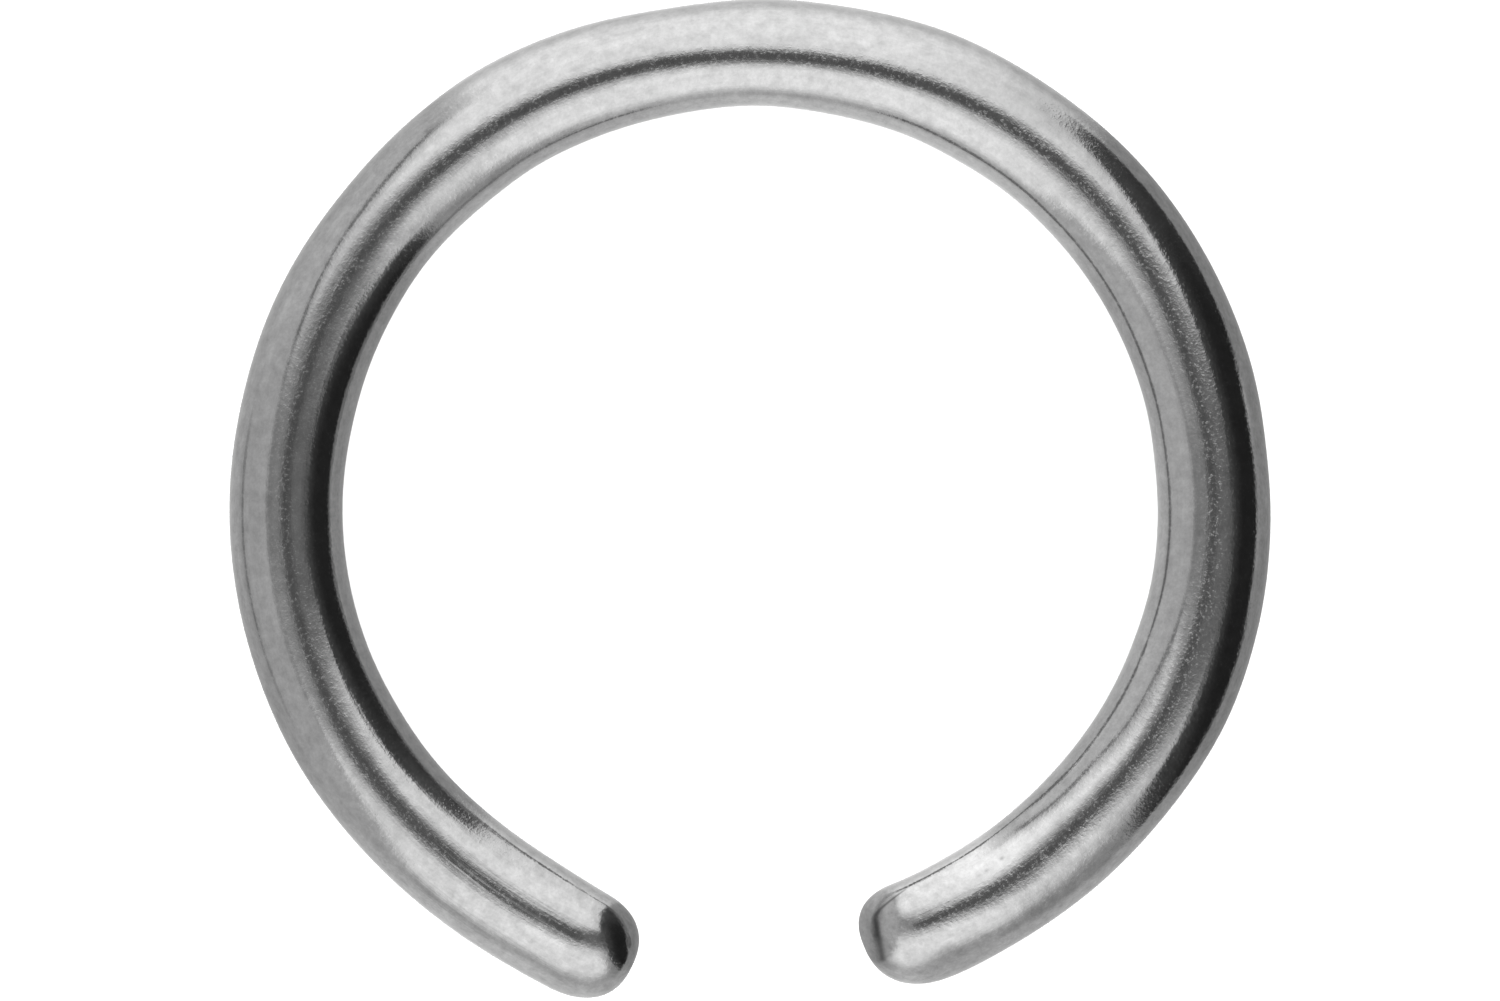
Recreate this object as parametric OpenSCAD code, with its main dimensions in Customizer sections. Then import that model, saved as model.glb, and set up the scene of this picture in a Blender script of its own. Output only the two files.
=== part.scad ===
// Open ring of a captive bead ring: one length of round wire bent to a circle.
// The gap takes a bead with a dimple on each side, which the ring's spring would hold.
// It lies flat on z = 0, with its centre over the origin and its gap towards -Y.

/* [Wire] */
// Thickness of the round wire, 14 gauge
wire_d = 1.6; // [1.2:0.1:2.4]

/* [Ring] */
// Clear width inside the ring, from wire to wire, as the mean of its width and depth
inner_d = 11.4; // [9:0.1:16]
// How far the centre of each bend lies from the ring's, which makes the ring wider than deep
shift = 0.24; // [0.02:0.02:0.4]
// Straight distance between the tips of the two ends
gap = 3.1; // [2:0.1:4.5]

/* [Ends] */
// How far each end's rounded dome stands out beyond the wire's flank
dome_h = 0.7; // [0.4:0.05:1]
// Length of wire left straight behind the left end's dome
left_stub = 0.95; // [0.35:0.05:1.5]
// Length of wire left straight behind the right end's dome
right_stub = 0.35; // [0.35:0.05:1.5]
// Lean of the left end's dome in degrees, above zero where its outer side is the longer
left_lean = 2; // [-12:1:12]
// Lean of the right end's dome in degrees, above zero where its outer side is the longer
right_lean = -10; // [-12:1:12]

/* [Hidden] */
$fn = 96;
wire_r = wire_d / 2;
mid_r = (inner_d + wire_d) / 2;
// Two tighter bends at the sides meet two slacker ones, front and back, on the diagonals
side_r = mid_r - shift / sqrt(2);
front_r = mid_r + shift / sqrt(2);

// Angle from the middle of the gap to where the front bend gives way to a stub
function turn(stub) =
    let (l = stub + dome_h)
    asin(gap / 2 / norm([front_r, l])) + atan(l / front_r);

// A stretch of bent wire about a centre, from one angle to another
module bend(radius, centre, from, to) {
    translate(centre)
        rotate([0, 0, from])
            rotate_extrude(angle = to - from)
                translate([radius, 0])
                    circle(r = wire_r);
}

// One end: a stub and its dome along +Z, slid over each other so that the face leans
module tip(stub, lean) {
    reach = stub + dome_h;
    intersection() {
        multmatrix([[1, 0, 0, 0], [0, 1, 0, 0], [tan(lean), 0, 1, 0]]) {
            translate([0, 0, -stub])
                cylinder(r = wire_r, h = 2 * stub);
            translate([0, 0, stub])
                scale([1, 1, dome_h / wire_r])
                    sphere(r = wire_r);
        }
        translate([-wire_d, -wire_d, 0])
            cube([2 * wire_d, 2 * wire_d, 2 * reach]);
    }
}

// The left front quarter of the wire up to its end; mirrored, it is the right one
module front(stub, lean) {
    bend(front_r, [0, shift, 0], 225, 270 - turn(stub));
    translate([0, shift, 0])
        rotate([0, 0, 270 - turn(stub)])
            translate([front_r, 0, 0])
                rotate([-90, 0, 0])
                    tip(stub, lean);
}

module ring() {
    color("silver")
        translate([0, 0, wire_r]) {
            front(left_stub, left_lean);
            bend(side_r, [-shift, 0, 0], 135, 225);
            bend(front_r, [0, -shift, 0], 45, 135);
            bend(side_r, [shift, 0, 0], -45, 45);
            mirror([1, 0, 0])
                front(right_stub, right_lean);
        }
}

ring();
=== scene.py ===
from math import radians

import bpy
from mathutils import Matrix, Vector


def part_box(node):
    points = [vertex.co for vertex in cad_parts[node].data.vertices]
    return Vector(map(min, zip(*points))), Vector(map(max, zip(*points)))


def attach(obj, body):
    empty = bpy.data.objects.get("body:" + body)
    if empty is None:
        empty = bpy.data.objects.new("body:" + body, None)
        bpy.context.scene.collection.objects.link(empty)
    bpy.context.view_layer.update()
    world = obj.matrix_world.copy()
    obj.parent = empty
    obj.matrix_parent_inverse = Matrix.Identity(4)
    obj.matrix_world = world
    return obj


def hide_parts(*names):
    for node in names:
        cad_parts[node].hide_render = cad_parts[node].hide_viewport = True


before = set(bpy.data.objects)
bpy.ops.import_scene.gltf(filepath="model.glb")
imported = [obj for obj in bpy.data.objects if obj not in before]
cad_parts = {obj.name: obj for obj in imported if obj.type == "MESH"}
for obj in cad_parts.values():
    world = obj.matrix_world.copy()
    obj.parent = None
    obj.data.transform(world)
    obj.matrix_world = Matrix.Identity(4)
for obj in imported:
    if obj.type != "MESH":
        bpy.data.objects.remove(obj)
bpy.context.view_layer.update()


# The ring is one length of round surgical steel wire. It was bent round a mandrel until its ends nearly
# met, and it sprang back a little, so it is wider than deep. Each end was tumbled to a blunt, flattened
# dome. The bending and the buffing left the wire slightly out of round, by a few hundredths of a mm.
class Value:
    """A socket of a node tree. Sums written with it add Math nodes to the tree."""

    def __init__(self, tree, socket):
        self.tree = tree
        self.socket = socket

    def node(self, kind, settings=None, sockets=None, which=0):
        """Adds one node, gives its sockets their values or links, and returns one of its outputs."""
        made = self.tree.nodes.new(kind)
        for name, setting in (settings or {}).items():
            setattr(made, name, setting)
        for key, value in (sockets or {}).items():
            if isinstance(value, Value):
                self.tree.links.new(value.socket, made.inputs[key])
            else:
                made.inputs[key].default_value = value
        return Value(self.tree, made.outputs[which])

    def math(self, operation, *others):
        return self.node("ShaderNodeMath", {"operation": operation}, dict(enumerate((self, *others))))

    def clamp(self):
        return self.math("MAXIMUM", 0.0).math("MINIMUM", 1.0)

    def step(self, low, high):
        """0 up to low, 1 from high on, and a smooth rise between them."""
        return self.node(
            "ShaderNodeMapRange",
            {"interpolation_type": "SMOOTHSTEP"},
            {"Value": self, "From Min": low, "From Max": high},
        )

    def hump(self, centre, width, height=1.0):
        """A rounded rise of that height round a centre, nearly gone at twice its width."""
        offset = (self - centre) / width
        return (offset * offset * -1.0).math("EXPONENT") * height

    def __add__(self, other):
        return self.math("ADD", other)

    def __sub__(self, other):
        return self.math("SUBTRACT", other)

    def __mul__(self, other):
        return self.math("MULTIPLY", other)

    def __truediv__(self, other):
        return self.math("DIVIDE", other)

    def __pow__(self, other):
        return self.math("POWER", other)

    def __rsub__(self, other):
        return self.node("ShaderNodeMath", {"operation": "SUBTRACT"}, {0: other, 1: self})

    def __rtruediv__(self, other):
        return self.node("ShaderNodeMath", {"operation": "DIVIDE"}, {0: other, 1: self})

    __radd__ = __add__
    __rmul__ = __mul__


ring_low, ring_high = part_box("ring")
wire_thickness = ring_high.z - ring_low.z
half_width = (ring_high.x - ring_low.x - wire_thickness) / 2
half_depth = ring_high.y - wire_thickness / 2

ring_sizes = {
    "Wire thickness": wire_thickness,
    "Mean radius": (half_width + half_depth) / 2,
    "Wider than deep": (half_width - half_depth) / 2,
    "Widest at": radians(7),
    "Right tip at": radians(-75.52),
    "Left tip at": radians(255.6),
    "Dome length": 0.00087,
    "Dome squareness": 2.45,
    "Right face lean": 0.17,
    "Left face lean": 0.05,
    "Left end flares from": radians(232),
    "Left end flare": 0.00148,
    "Taper length": 0.0032,
    "Right end taper": 0.085,
    "Left end taper": 0.05,
    "Back narrowing": 0.055,
    "Flank breadth": 0.04,
    "Flank height": 0.15,
    "Unevenness": 0.0000032,
    "Unevenness length": 0.0017,
}
dome_rows = 26
wire_rows = 560
wire_columns = 120

ring_tree = bpy.data.node_groups.new("Bent wire with domed ends", "GeometryNodeTree")
ring_inputs = {}
for label, size in ring_sizes.items():
    entry = ring_tree.interface.new_socket(label, in_out="INPUT", socket_type="NodeSocketFloat")
    ring_inputs[label] = entry.identifier
ring_tree.interface.new_socket("Ring", in_out="OUTPUT", socket_type="NodeSocketGeometry")
given = ring_tree.nodes.new("NodeGroupInput")
start = Value(ring_tree, given.outputs[0])


def size_of(label):
    return Value(ring_tree, given.outputs[label])


rows = 2 * dome_rows + wire_rows + 1
grid = start.node(
    "GeometryNodeMeshGrid",
    None,
    {
        "Size X": float(rows - 1),
        "Size Y": 1.0,
        "Vertices X": rows,
        "Vertices Y": wire_columns + 1,
    },
)
place = start.node("GeometryNodeInputPosition")
row = place.node("ShaderNodeSeparateXYZ", None, {0: place}, 0) + (rows - 1) / 2
around = place.node("ShaderNodeSeparateXYZ", None, {0: place}, 1) * radians(360)

# Each dome is a squared-off ellipse along the wire: thickness is its share of the wire's, and beyond
# is how far a row lies past the end of the plain wire.
quarter = radians(90)
roundness = 2.0 / size_of("Dome squareness")
right_turn = (row / dome_rows).clamp() * quarter
left_turn = ((rows - 1 - row) / dome_rows).clamp() * quarter
right_beyond = size_of("Dome length") * (right_turn.math("COSINE") ** roundness)
left_beyond = size_of("Dome length") * (left_turn.math("COSINE") ** roundness)
thickness = (right_turn.math("SINE") * left_turn.math("SINE")) ** roundness

radius = size_of("Mean radius")
dome_angle = size_of("Dome length") / radius
right_base = size_of("Right tip at") + dome_angle
left_base = size_of("Left tip at") - dome_angle
wire_share = ((row - dome_rows) / wire_rows).clamp()
angle = right_base + wire_share * (left_base - right_base) - right_beyond / radius + left_beyond / radius
right_run = (angle - size_of("Right tip at")) * radius
left_run = (size_of("Left tip at") - angle) * radius

# The middle of the wire is an oval whose left end runs off straight, so its distance from the centre
# and the direction it heads in both follow from the angle.
flare_angle = (angle - size_of("Left end flares from")).math("MAXIMUM", 0.0)
twice = (angle - size_of("Widest at")) * 2.0
from_centre = radius + size_of("Wider than deep") * twice.math("COSINE")
from_centre = from_centre + size_of("Left end flare") * flare_angle * flare_angle
climb = size_of("Wider than deep") * -2.0 * twice.math("SINE")
climb = climb + size_of("Left end flare") * 2.0 * flare_angle

# Its bends are uneven. Each row: degrees round the ring, degrees to either side, microns outwards.
kinks = (
    (-68, 6, 25),
    (-24, 10, 30),
    (-11, 6, 15),
    (6, 6, -21),
    (42, 14, 17),
    (66, 5, 12),
    (80, 7, -20),
    (100, 10, -45),
    (122, 6, 18),
    (168, 8, -14),
    (236, 6, 14),
    (250, 8, 24),
)
for centre, spread, microns in kinks:
    kink = angle.hump(radians(centre), radians(spread), microns * 1e-6)
    from_centre = from_centre + kink
    climb = climb + kink * (radians(centre) - angle) * (2.0 / radians(spread) ** 2)
cosine = angle.math("COSINE")
sine = angle.math("SINE")
ahead_x = climb * cosine - from_centre * sine
ahead_y = climb * sine + from_centre * cosine
length = (ahead_x * ahead_x + ahead_y * ahead_y) ** 0.5
ahead_x = ahead_x / length
ahead_y = ahead_y / length

# The wire's own radius tapers towards both tips. The wire is slightly narrower at the back, where it
# was bent hardest, and its crest leans where the pliers squeezed it.
taper_length = size_of("Taper length")
taper_ease = 1.3
right_taper = (1.0 - right_run / taper_length).clamp() ** taper_ease * size_of("Right end taper")
left_taper = (1.0 - left_run / taper_length).clamp() ** taper_ease * size_of("Left end taper")
wire_radius = size_of("Wire thickness") / 2.0 * (1.0 - right_taper) * (1.0 - left_taper) * thickness

# Each row of swells: degrees round the ring, degrees to either side, and the share it is thicker by.
swells = (
    (-52, 8, -0.014),
    (-23, 10, 0.033),
    (8, 9, -0.007),
    (52, 7, -0.014),
    (99, 9, -0.017),
    (142, 9, -0.033),
    (210, 7, 0.014),
    (240, 9, 0.02),
)
for centre, spread, amount in swells:
    wire_radius = wire_radius * (1.0 + angle.hump(radians(centre), radians(spread), amount))

# Each row of squeezes: degrees round the ring, degrees to either side, how far the crest leans
# outwards, and how egg-shaped the section is.
squeezes = (
    (-66, 7, -0.12, 0.12),
    (-54, 6, -0.015, 0.0),
    (-58, 11, 0.0, 0.08),
    (-45, 11, -0.055, 0.0),
    (-28, 8, 0.01, 0.0),
    (10, 16, -0.04, 0.04),
    (18, 8, -0.02, 0.0),
    (45, 14, 0.03, 0.08),
    (64, 14, 0.025, 0.0),
    (88, 22, -0.075, 0.0),
    (130, 16, 0.025, 0.04),
    (205, 12, 0.01, 0.09),
    (225, 9, -0.02, 0.03),
    (242, 9, 0.0, 0.15),
    (250, 6, -0.05, 0.0),
)
squeeze = 0.0
egg = 0.0
for centre, spread, amount, egging in squeezes:
    squeeze = squeeze + angle.hump(radians(centre), radians(spread), amount)
    egg = egg + angle.hump(radians(centre), radians(spread), egging)
for centre, spread, microns in kinks:
    squeeze = squeeze - angle.hump(radians(centre), radians(spread), microns * 1e-6) / wire_radius
twice_around = around * 2.0
section = wire_radius * (1.0 + squeeze / 2.0 * twice_around.math("SINE"))
aside = around.math("COSINE")
aside_squared = aside * aside
flank = aside_squared * aside_squared * aside_squared
wide = aside * (1.0 + size_of("Flank breadth") * (1.0 - flank))
tall = 1.0 + size_of("Flank height") * flank * aside_squared - egg * aside_squared * aside
tall = tall * around.math("SINE")

# Faint bumps, drawn out along the wire, keep its flanks from being quite true.
outward = wide * section
upward = tall * section
stretch = 2.2
place_on_wire = around.node(
    "ShaderNodeCombineXYZ",
    None,
    {0: angle * radius / stretch, 1: outward, 2: upward},
)
bumps = place_on_wire.node(
    "ShaderNodeTexNoise",
    {"noise_dimensions": "3D"},
    {"Vector": place_on_wire, "Scale": 1.0 / size_of("Unevenness length"), "Detail": 1.0},
)
unevenness = (bumps - 0.5) * 2.0 * size_of("Unevenness") * thickness
section = section + unevenness
narrowing = 1.0 - angle.hump(radians(92), radians(22)) * size_of("Back narrowing")
outward = wide * section * narrowing

# The left dome is blunt, like a cut end with its edge rounded off. The right one is fuller towards
# the ring's hole than away from it, and carries a low rim.
right_share = right_beyond / size_of("Dome length")
left_share = left_beyond / size_of("Dome length")
face_drop = 0.35
edge_squareness = 5.0
blunt = (1.0 - left_share ** edge_squareness) ** (1.0 / edge_squareness)
blunt = blunt * (1.0 - face_drop * left_share * left_share) / left_turn.math("SINE") ** roundness
right_fullness = 0.3
towards_hole = 0.75
lopsided = right_turn.math("SINE") ** (right_fullness - towards_hole * aside)
upward = tall * section * lopsided * blunt
rim_height = 0.0000156
upward = upward + right_share.hump(0.86, 0.08) * rim_height * around.math("SINE")

# Buffing left low ledges along the wire. Each row: degrees round the ring, degrees to either side, how
# far out from the crest in wire radii, the ledge's width in the same, and its height in microns.
ledges = (
    (148, 10, 0.27, 0.12, 5.0),
    (148, 10, -0.24, 0.10, 5.0),
    (148, 6, -0.43, 0.08, -5.0),
    (-28, 9, -0.24, 0.10, 8.0),
    (-26, 6, -0.42, 0.08, -6.0),
    (151, 12, 0.22, 0.10, 5.0),
    (-30, 8, 0.15, 0.08, 3.0),
    (-66, 5, -0.17, 0.07, 4.0),
    (-58, 8, 0.16, 0.08, 2.0),
    (-52, 15, -0.85, 0.07, -28.0),
    (-50, 9, -0.87, 0.06, -22.0),
    (-62, 5, -0.84, 0.06, -8.0),
    (-32, 6, -0.82, 0.06, -6.0),
    (230, 5, -0.82, 0.06, -6.0),
    (12, 16, -0.80, 0.07, -6.0),
    (108, 12, -0.78, 0.07, -7.0),
    (238, 8, -0.82, 0.07, -12.0),
    (215, 10, 0.15, 0.09, 3.5),
    (229, 6, 0.15, 0.08, 3.0),
    (215, 8, -0.18, 0.08, 2.0),
    (236, 14, -0.12, 0.06, 1.0),
    (213, 7, -0.42, 0.06, -2.5),
    (195, 7, -0.32, 0.07, -3.5),
    (-33, 6, 0.48, 0.08, -5.0),
    (-37, 6, -0.53, 0.06, -4.0),
)
for centre, spread, line, width, microns in ledges:
    ledge = angle.hump(radians(centre), radians(spread), microns * 1e-6)
    ledge = ledge * ((aside - line) / width).math("TANH")
    upward = upward + ledge * around.math("SINE")

# The end faces don't stand quite square across the wire, so the last of the wire slides along with them.
lean_full = 0.001
lean_starts = 0.0026
right_lean = (1.0 - right_run.step(lean_full, lean_starts)) * size_of("Right face lean")
left_lean = (1.0 - left_run.step(lean_full, lean_starts)) * size_of("Left face lean")
slide = outward * (right_lean - left_lean)
middle_height = size_of("Wire thickness") / 2.0
moved = around.node(
    "ShaderNodeCombineXYZ",
    None,
    {
        0: from_centre * cosine + outward * ahead_y + slide * ahead_x,
        1: from_centre * sine - outward * ahead_x + slide * ahead_y,
        2: upward + middle_height,
    },
)
unbent = around.node("ShaderNodeCombineXYZ", None, {0: angle * radius, 1: outward, 2: upward})
marked = start.node(
    "GeometryNodeStoreNamedAttribute",
    {"data_type": "FLOAT_VECTOR", "domain": "POINT"},
    {"Geometry": grid, "Name": "unbent", "Value": unbent},
)
shaped = start.node("GeometryNodeSetPosition", None, {"Geometry": marked, "Position": moved})
closed = start.node("GeometryNodeMergeByDistance", None, {"Geometry": shaped, "Distance": 1e-7})
smooth = start.node("GeometryNodeSetShadeSmooth", None, {0: closed})
whole = start.node("GeometryNodeRealizeInstances", None, {0: smooth})

steel = bpy.data.materials.new("Polished surgical steel")
finished = start.node("GeometryNodeSetMaterial", None, {"Geometry": whole, "Material": steel})
result = ring_tree.nodes.new("NodeGroupOutput")
ring_tree.links.new(finished.socket, result.inputs[0])

maker = bpy.data.objects.new("ring_maker", bpy.data.meshes.new("ring_maker"))
bpy.context.collection.objects.link(maker)
bender = maker.modifiers.new("Bend the wire", "NODES")
bender.node_group = ring_tree
for label, size in ring_sizes.items():
    bender[ring_inputs[label]] = size
bpy.context.view_layer.update()
bent = bpy.data.meshes.new_from_object(maker.evaluated_get(bpy.context.evaluated_depsgraph_get()))
maker.modifiers.remove(bender)
bpy.data.objects.remove(maker)
bent.name = "wire_ring"
ring = bpy.data.objects.new("wire_ring", bent)
bpy.context.collection.objects.link(ring)

# The steel is polished, but the tumbling left it finely grained and a little mottled, with soft
# drawing lines along the wire. The ends were handled most, so they are the most marked.
steel.use_nodes = True
steel.node_tree.nodes.clear()
steel_output = steel.node_tree.nodes.new("ShaderNodeOutputMaterial")
# The mesh carries each point's place on the straightened wire: along it, outwards and upwards.
wire = Value(steel.node_tree, None).node("ShaderNodeAttribute", {"attribute_name": "unbent"}, None, 1)
drawn = wire.node("ShaderNodeVectorMath", {"operation": "MULTIPLY"}, {0: wire, 1: (0.03, 1.0, 1.0)})


def marks(where, scale, detail, roughness):
    """Random marks over the steel, which vary between 0 and 1."""
    return where.node(
        "ShaderNodeTexNoise",
        None,
        {"Vector": where, "Scale": scale, "Detail": detail, "Roughness": roughness},
    )


mottle = marks(wire, 6000.0, 4.0, 0.65)
cloud = marks(wire, 2200.0, 2.0, 0.5)
grain = marks(wire, 21000.0, 3.0, 0.6)
lines = marks(drawn, 14000.0, 2.0, 0.6)

along = wire.node("ShaderNodeSeparateXYZ", None, {0: wire}, 0)
across = wire.node("ShaderNodeSeparateXYZ", None, {0: wire}, 1) / (wire_thickness / 2)
mean_radius = ring_sizes["Mean radius"]
right_tip = ring_sizes["Right tip at"] * mean_radius
left_tip = ring_sizes["Left tip at"] * mean_radius
from_right = along - right_tip
sideways = (along / mean_radius).math("COSINE")
crest = across.hump(0.03, 0.22)
# A painted highlight brightens the inner half of the wire about twenty degrees from the right tip.
painted_inner_highlight = along.hump(-0.0062, 0.0009) * (1.0 - across.step(-0.15, 0.05))
handled = 1.0 + 0.22 * ((0.0 - along).step(0.0035, 0.0055) + along.step(0.0240, 0.0260))
tint = 0.555 + ((mottle - 0.5) * 0.36 + (grain - 0.5) * 0.14) * handled
tint = tint + (cloud - 0.5) * 0.06 + (lines - 0.5) * 0.08 + painted_inner_highlight * 0.11 - across * 0.01
tint = tint - across * 0.03 * sideways * sideways

# A faint dark line of painted shade, standing in for the shaded foot of the ring's far side as the steel
# mirrors it, follows the inner flank near both ends.
painted_flank_shade = (across + 0.81 + along.hump(-0.0058, 0.0016, 0.05)).hump(0.0, 0.05)
near_right = (0.0 - along).step(0.0018, 0.0032) * from_right.step(0.0008, 0.0014)
near_left = along.hump(0.0263, 0.0008)
tint = tint * (1.0 - 0.13 * painted_flank_shade * (near_right + near_left))

# The steel's colour is painted brighter or darker in patches, as painted highlights and painted shade in
# its reflections. Each row: degrees round the ring, degrees to either side, how far out from the crest
# in wire radii, the patch's half width in the same, and the share it is brighter by.
painted_reflection_patches = (
    (-25, 9, -0.29, 0.10, 0.34),
    (-39, 6, -0.45, 0.12, 0.12),
    (-15, 5, -0.25, 0.07, -0.20),
    (35, 9, 0.20, 0.10, -0.10),
    (221, 9, 0.32, 0.10, -0.10),
    (218, 14, 0.16, 0.06, 0.10),
    (240, 10, 0.05, 0.06, 0.24),
    (-35, 8, -0.805, 0.04, 0.28),
    (246, 4, 0.24, 0.07, 0.15),
    (174, 14, -0.02, 0.10, -0.12),
    (62, 10, -0.22, 0.08, -0.08),
    (148, 10, 0.35, 0.09, -0.24),
    (51, 13, 0.42, 0.26, -0.13),
    (-59, 9, 0.42, 0.20, -0.07),
    (22, 18, -0.58, 0.15, 0.05),
    (178, 18, 0.58, 0.16, -0.05),
    (242, 7, 0.77, 0.10, 0.10),
    (130, 7, -0.52, 0.12, 0.09),
    (111, 8, -0.35, 0.20, -0.06),
    (137, 6, -0.13, 0.06, -0.18),
)
for turned_to, spread, line, width, brighter in painted_reflection_patches:
    painted_patch = along.hump(radians(turned_to) * mean_radius, radians(spread) * mean_radius, brighter)
    tint = tint * (1.0 + painted_patch * across.hump(line, width))
# The last millimetre before the left tip is painted a little darker, as painted shade.
tint = tint * (1.0 - (along - left_tip).step(-0.0013, -0.0006) * 0.07)

# Four tiny nicks lie near the right end. Each row: degrees round the ring, how far out from the crest
# in wire radii, and how dark it is.
nicks = (
    (-54.5, -0.44, 0.32),
    (-56.9, -0.41, 0.26),
    (-58.0, -0.40, 0.20),
    (-54.1, 0.21, 0.20),
)
for turned_to, line, darkness in nicks:
    nick = along.hump(radians(turned_to) * mean_radius, 0.00004, darkness) * across.hump(line, 0.03)
    tint = tint * (1.0 - nick)

# A fine crease of painted shade crosses the right end's dome and turns along the inner flank. The right
# end's tip is painted darker, as painted shade, and the end faces are duller.
turned = (-0.44 - across).math("MAXIMUM", 0.0)
painted_crease_shade = (from_right + 0.000204 * across - 0.0048 * turned * turned).hump(0.0002275, 0.00005)
painted_crease_shade = painted_crease_shade * across.step(-0.84, -0.74) * (1.0 - across.step(0.26, 0.38))
tint = tint * (1.0 - 0.62 * painted_crease_shade) * (1.0 - 0.22 * (1.0 - from_right.step(0.0002, 0.0004)))
dull = 1.0 - from_right.step(0.0006, 0.0011) + along.hump(left_tip - 0.00047, 0.00015, 0.6)
held = along.hump(0.0267, 0.0015)
scuffed = held * across.hump(0.055, 0.07) * lines.step(0.38, 0.56)
polish = 0.085 + (mottle - 0.5) * 0.06 + dull * 0.15 + scuffed * 0.42

# The grain stands out most on the crest, which rubs on whatever the ring lies against.
grainy = 0.36 + 0.22 * (across * sideways).step(0.24, 0.40)
grainy = grainy + crest * (0.50 + 0.50 * sideways.math("MAXIMUM", 0.0))
pits = grain.step(0.55, 0.72)
roughened = ((grain - 0.5) * 0.8 + pits * 0.2) * grainy + (lines - 0.5) * (0.35 + 0.5 * held)
relief = wire.node(
    "ShaderNodeBump",
    None,
    {
        "Strength": 1.0,
        "Distance": 0.000003,
        "Height": roughened,
    },
)
metal = wire.node(
    "ShaderNodeBsdfPrincipled",
    None,
    {
        "Base Color": tint,
        "Metallic": 1.0,
        "Roughness": polish,
        "Normal": relief,
    },
)
steel.node_tree.links.new(metal.socket, steel_output.inputs["Surface"])

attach(ring, "root")
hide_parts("ring")


# The floor is a wide sheet of white card, lit until it is nearly blank. The steel mirrors the studio
# below the horizon instead of it, as the studio's own table is greyer than the card.
floor_mesh = bpy.data.meshes.new("white_card")
half_floor = 0.6
floor_corners = (
    (-half_floor, -half_floor, 0),
    (half_floor, -half_floor, 0),
    (half_floor, half_floor, 0),
    (-half_floor, half_floor, 0),
)
floor_mesh.from_pydata(floor_corners, [], [(0, 1, 2, 3)])
floor = bpy.data.objects.new("white_card", floor_mesh)
bpy.context.collection.objects.link(floor)
card_white = (0.9, 0.9, 0.9, 1)
card = bpy.data.materials.new("White card")
card.use_nodes = True
card.node_tree.nodes.clear()
card_output = card.node_tree.nodes.new("ShaderNodeOutputMaterial")
matt = Value(card.node_tree, None).node("ShaderNodeBsdfDiffuse", None, {"Color": card_white})
card.node_tree.links.new(matt.socket, card_output.inputs["Surface"])
floor_mesh.materials.append(card)
floor.visible_glossy = False


# The studio is a white light tent round the ring, as the steel mirrors it: a soft light in front and
# one behind, the camera's dark lens in the slit between them, the tent's opening on the right, and a
# table that takes its tone from whatever hangs over it. The floor and the air only show it as pale.
studio = bpy.data.worlds.new("Light tent")
bpy.context.scene.world = studio
studio.use_nodes = True
studio.cycles.sampling_method = "NONE"
studio.node_tree.nodes.clear()
studio_output = studio.node_tree.nodes.new("ShaderNodeOutputWorld")
look = Value(studio.node_tree, None).node("ShaderNodeTexCoord")
look_x = look.node("ShaderNodeSeparateXYZ", None, {0: look}, 0)
look_y = look.node("ShaderNodeSeparateXYZ", None, {0: look}, 1)
look_z = look.node("ShaderNodeSeparateXYZ", None, {0: look}, 2)

# A direction is given by its place on a mirror ball that is seen from above, in hundredths of half the
# wire's thickness: how far it lies to the right and to the back of the crest, and off_crest in all, with
# east and north to say which way. The ball is a little larger than the wire, because the wire's squared
# flanks show everything a little further out than a round section does.
ball_radius = 108
off_crest = ball_radius * ((1.0 - look_z) / 2.0) ** 0.5
level = (look_x * look_x + look_y * look_y + 1e-9) ** 0.5
east = look_x / level
north = look_y / level
right = off_crest * east
back = off_crest * north


def over(below, above, share):
    return below + (above - below) * share


tent = over(0.56, 0.57, off_crest.step(35, 75))
tent = over(tent, 0.37, right.step(-5, 45))
slit = (1.0 - right.math("ABSOLUTE").step(30, 38)) * back.step(-30, -16) * (1.0 - back.step(16, 30))
tent = over(tent, over(0.31, 0.20, right.step(-20, 10)), slit)

# The front light is a large panel low in front of the ring. Its right edge is the tent's frame, which
# curves away to the front and to the back, and its left edge hangs straight.
behind = back.math("MAXIMUM", 4.0) - 4
ahead = back.math("MINIMUM", 4.0) - 4
edge = right - 31.5 + 1.5 * back.hump(20, 12) - 0.0045 * behind * behind - 0.0052 * ahead * ahead
edge = edge + 2.2 * back.step(34, 46)
top_edge = back + right.hump(-1, 6, 5) + 4.0 * right.step(6, 14) * (1.0 - right.step(24, 36))
left_edge = 0.97 * (right + 32) - 0.25 * (back + 20) + 0.35 * (0.0 - back - 32).math("MAXIMUM", 0.0)
front = (1.0 - top_edge.step(-28, 0)) * left_edge.step(-4, 4)
front_tone = over(1.16, 1.26, (0.0 - north).step(0.75, 0.95))
front_tone = over(front_tone, 0.60, edge.step(-20, -3) * (1.0 - back.step(-40, 0)))
low_tone = over(over(0.50, 0.38, east.step(-0.2, 0.4)), 0.58, (0.0 - north).step(0.80, 1.0))
front_tone = over(front_tone, low_tone, (off_crest + 9 * east.step(0.25, 0.7)).step(58, 78))
tent = over(tent, front_tone, front)

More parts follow.
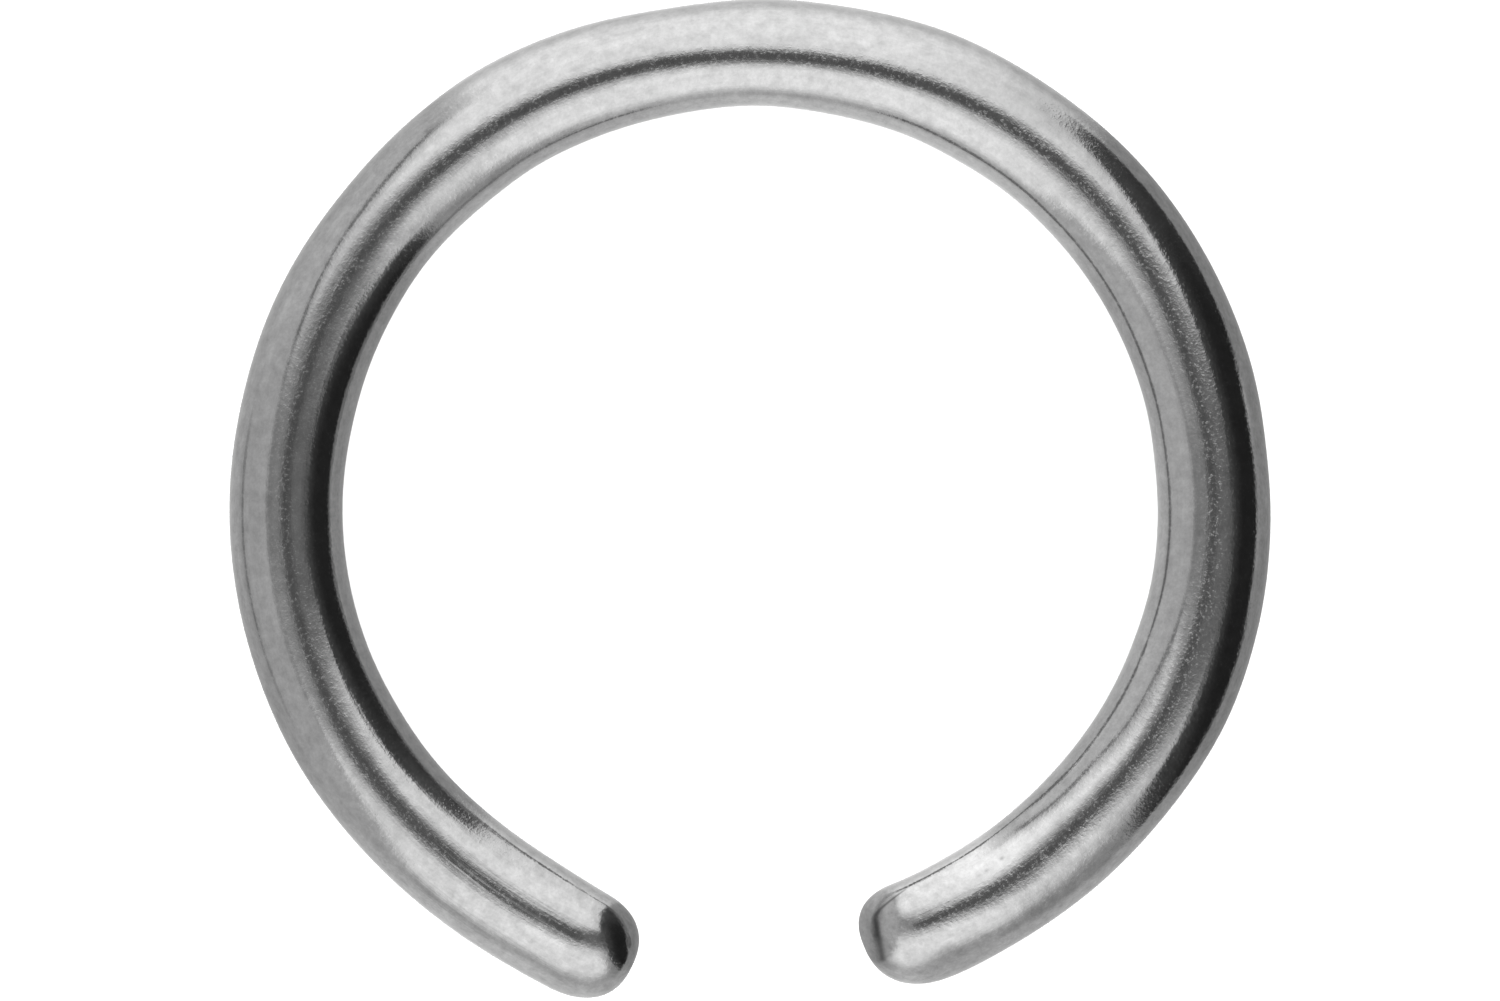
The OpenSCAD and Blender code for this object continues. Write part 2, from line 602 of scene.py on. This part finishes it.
# The back light is a second panel behind the ring. A seam in the tent's cloth bounds it on the left.
bend = back.math("MINIMUM", 46.0) - 8
seam = right + (31.3 + 0.55 * bend - 0.0085 * bend * bend).math("MAXIMUM", 0.84 * back)
bound = (0.78 * (50 - right) + 0.62 * (back - 57)).step(-4, 6)
back_light = over(back.step(2, 22), back.step(5, 17), right.step(5, 28))
back_light = back_light * seam.step(-2.5, over(12, 20, off_crest.step(52, 70)))
back_light = back_light * over(1.0, bound, off_crest.step(42, 58))
back_light = over(back_light, 1.0, right.hump(-26, 7) * back.hump(13.5, 4.5, 0.4))
back_tone = over(over(1.18, 1.31, off_crest.step(20, 50)), 0.82, off_crest.step(74, 102))
back_tone = back_tone * (1.0 - 0.10 * right.step(10, 40)) * (0.88 + 0.12 * seam.step(3, 16))
back_tone = back_tone * (1.0 - 0.15 * edge.step(-16, -3))
tent = over(tent, back_tone, back_light)
tent = over(tent, 0.68, (1.0 - seam.step(-3, 3)) * back.step(10, 30) * (1.0 - east.step(-0.2, 0.1)))

# The table fills everything low down. It is palest in front and greyest below the opening.
front_table = over(0.78, 0.61, east.step(-0.1, 0.4))
table = over(0.60, 0.50, (0.0 - north).step(0.0, 0.4))
table = over(table, 0.35, east.step(0.2, 0.85))
table = over(table, front_table, (0.0 - north).step(0.45, 0.85))
tent = over(tent, table, off_crest.step(76, 90) * (1.0 - north.step(0.6, 0.8)))

# The camera looks down through a slit between the two lights, and its lens is the dark middle.
lens = (right * right + 0.78 * (back + 1.5) * (back + 1.5)) ** 0.5
tent = over(tent, 0.13, 1.0 - lens.step(4, 13))

# The tent is open on the right, from the frame's edge down to the table, and the room there is dark.
opening_end = 76.2 + 1.8 * back.step(19, 24) + 2.4 * (1.0 - back.step(-18, -15)) - 3.6 * back.hump(15, 5)
opening = edge.step(-2.5, 2.5) * (1.0 - (off_crest - opening_end).step(0, 4))
opening = opening * north.step(-0.71, -0.67) * (1.0 - north.step(0.755, 0.805))
inside = over(0.085, 0.024, edge.step(-1, 22)) + 0.03 * back.step(22, 45)
inside = inside + edge.hump(4.2, 1.1, 0.20) * back.step(-30, -20) * (1.0 - back.step(-8, 8))
tent = over(tent, inside, opening)

# Thin lines are the frame's bar, the thread of the seam, and the table's far edges.
frame_line = edge.hump(-3.5, 1.0, 0.35) * back.step(-20, -8) * (1.0 - back.step(6, 16))
tent = tent * (1.0 - frame_line)
thread = seam.hump(-0.3, 1.8, 0.72) * back.step(6, 14) * (1.0 - back.step(44, 56))
tent = tent * (1.0 - thread)
on_left = 1.0 - east.step(-0.1, 0.1)
dark_line = (off_crest.hump(77.5, 1.8, 0.42) + off_crest.hump(79, 6.0, 0.17)) * north.step(-0.55, -0.2)
tent = tent * (1.0 - dark_line * on_left * (1.0 - north.step(0.05, 0.30)))
strip = off_crest.hump(77.3, 1.4) + off_crest.hump(81, 1.2, 0.3)
strip = strip * north.step(-0.24, -0.12) * (1.0 - north.step(0.22, 0.30))
tent = tent + strip * 0.25 * (1.0 - on_left)

# What the ring mirrors of itself is toned down, as the floor lights its underside in the real studio.
twice_mirrored = tent.node("ShaderNodeLightPath", None, None, "Glossy Depth").step(1.4, 1.6)
own_tone = 0.36
tent = over(tent, own_tone, 0.9 * twice_mirrored)
mirrored = tent.node("ShaderNodeBackground", None, {"Color": tent})
pale_light = (2.4, 2.4, 2.4, 1)
pale = tent.node("ShaderNodeBackground", None, {"Color": pale_light})
glossy = tent.node("ShaderNodeLightPath", None, None, "Is Glossy Ray")
shown = tent.node("ShaderNodeMixShader", None, {0: glossy, 1: pale, 2: mirrored})
studio.node_tree.links.new(shown.socket, studio_output.inputs["Surface"])


# The camera looks straight down on the ring from half a metre, through a long lens, so the ring shows
# square on and almost without perspective. The picture is nearly one and a half rings wide.
camera_data = bpy.data.cameras.new("Camera")
camera = bpy.data.objects.new("Camera", camera_data)
bpy.context.collection.objects.link(camera)
seen_width = 0.0212
camera_height = 0.5
picture_middle = (-0.000004, 0.00008)
camera_data.sensor_width = 36
camera_data.lens = camera_data.sensor_width * (camera_height - wire_thickness / 2) / seen_width
camera_data.clip_start = 0.01
camera_data.clip_end = 5
camera.location = (*picture_middle, camera_height)
bpy.context.scene.camera = camera
bpy.context.scene.view_settings.view_transform = "Standard"
